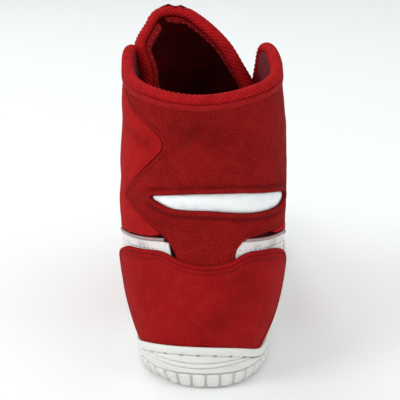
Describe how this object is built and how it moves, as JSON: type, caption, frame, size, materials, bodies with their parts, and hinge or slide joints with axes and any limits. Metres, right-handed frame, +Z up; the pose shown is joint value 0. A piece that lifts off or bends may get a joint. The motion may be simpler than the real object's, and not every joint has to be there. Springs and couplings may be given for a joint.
{
  "type": "boxing boot",
  "caption": "High-top lace-up boxing boot with a scooped ribbed collar, domed tongue, suede heel panel, white side inlays and a thin white rubber cup sole.",
  "frame": {"origin": "on the flat underside of the outsole, under the middle of the heel", "axes": "+Z up, +Y towards the toe, +X towards the outer (lateral) side of this right boot"},
  "size_m": [0.0993, 0.2891, 0.1795],
  "materials": {
    "red_suede": "napped red microfibre suede with a fine lighter speckle",
    "red_side_suede": "smoother, brighter red suede",
    "facing_red": "smooth red synthetic leather, stitched along its edges",
    "ribbed_binding": "red textile binding with diagonal ribs",
    "tongue_cloth": "dark red woven cloth",
    "lining_cloth": "dull mauve-red brushed lining cloth",
    "padded_white": "glossy padded white synthetic leather",
    "white_leather": "white synthetic leather with a dashed stitch row",
    "grey_piping": "thin grey-pink piping",
    "white_rubber": "matt off-white moulded rubber",
    "foam": "cream foam",
    "fibre_board": "tan fibre board",
    "sockliner_cloth": "dark textile over thin foam",
    "eyelet_metal": "satin pressed metal"
  },
  "bodies": {
    "boot": {"outsole_rear": "white_rubber", "midsole_rear": "foam", "insole_board_rear": "fibre_board", "heel_panel": "red_suede", "heel_counter": "fibre_board", "back_panel": "red_suede", "window_insert": "padded_white", "quarter_lateral": "red_side_suede", "quarter_medial": "red_side_suede", "strap_lateral": "white_leather", "strap_medial": "white_leather", "piping_lateral": "grey_piping", "piping_medial": "grey_piping", "eyestay_lateral": "facing_red", "eyestay_medial": "facing_red", "eyelets_lateral": "eyelet_metal", "eyelets_medial": "eyelet_metal", "lining_shaft": "lining_cloth", "collar_padding": "foam", "collar_binding": "ribbed_binding", "vamp_rear": "red_side_suede", "vamp_lining_rear": "lining_cloth", "tongue_root": "tongue_cloth"},
    "forefoot": {"outsole_fore": "white_rubber", "midsole_fore": "foam", "insole_board_fore": "fibre_board", "sockliner_fore": "sockliner_cloth", "vamp_fore": "red_side_suede", "vamp_lining_fore": "lining_cloth", "vamp_crease": "red_side_suede", "toe_cap": "red_suede", "toe_puff": "fibre_board"},
    "tongue": {"tongue_face": "tongue_cloth", "tongue_foam": "foam", "tongue_lining": "lining_cloth", "tongue_binding": "ribbed_binding"},
    "flap_lateral": {"flap_shell_lateral": "red_side_suede", "flap_lining_lateral": "lining_cloth", "flap_binding_lateral": "ribbed_binding"},
    "flap_medial": {"flap_shell_medial": "red_side_suede", "flap_lining_medial": "lining_cloth", "flap_binding_medial": "ribbed_binding"},
    "sockliner": {"sockliner_heel": "sockliner_cloth"}
  },
  "joints": [
    {"name": "ball_flex", "type": "hinge", "parent": "boot", "child": "forefoot", "pos_m": [0, 0.16, 0.01], "axis": [1, 0, 0], "range_deg": [0, 20], "stiffness_Nm_per_rad": 0.6, "deforming": ["vamp_crease"]},
    {"name": "tongue_fold", "type": "hinge", "parent": "boot", "child": "tongue", "pos_m": [0, 0.0665, 0.127], "axis": [-1, 0, 0], "range_deg": [0, 20]},
    {"name": "flap_open_lateral", "type": "hinge", "parent": "boot", "child": "flap_lateral", "pos_m": [0.03923, 0.03793, 0.13912], "axis": [-0.2094, 0.7947, -0.5698], "range_deg": [0, 40]},
    {"name": "flap_open_medial", "type": "hinge", "parent": "boot", "child": "flap_medial", "pos_m": [-0.04319, 0.03712, 0.13796], "axis": [-0.185, -0.8007, 0.5697], "range_deg": [0, 40]},
    {"name": "sockliner_lift", "type": "hinge", "parent": "boot", "child": "sockliner", "pos_m": [0, 0.16, 0.0094], "axis": [-1, 0, 0], "range_deg": [0, 10]}
  ]
}
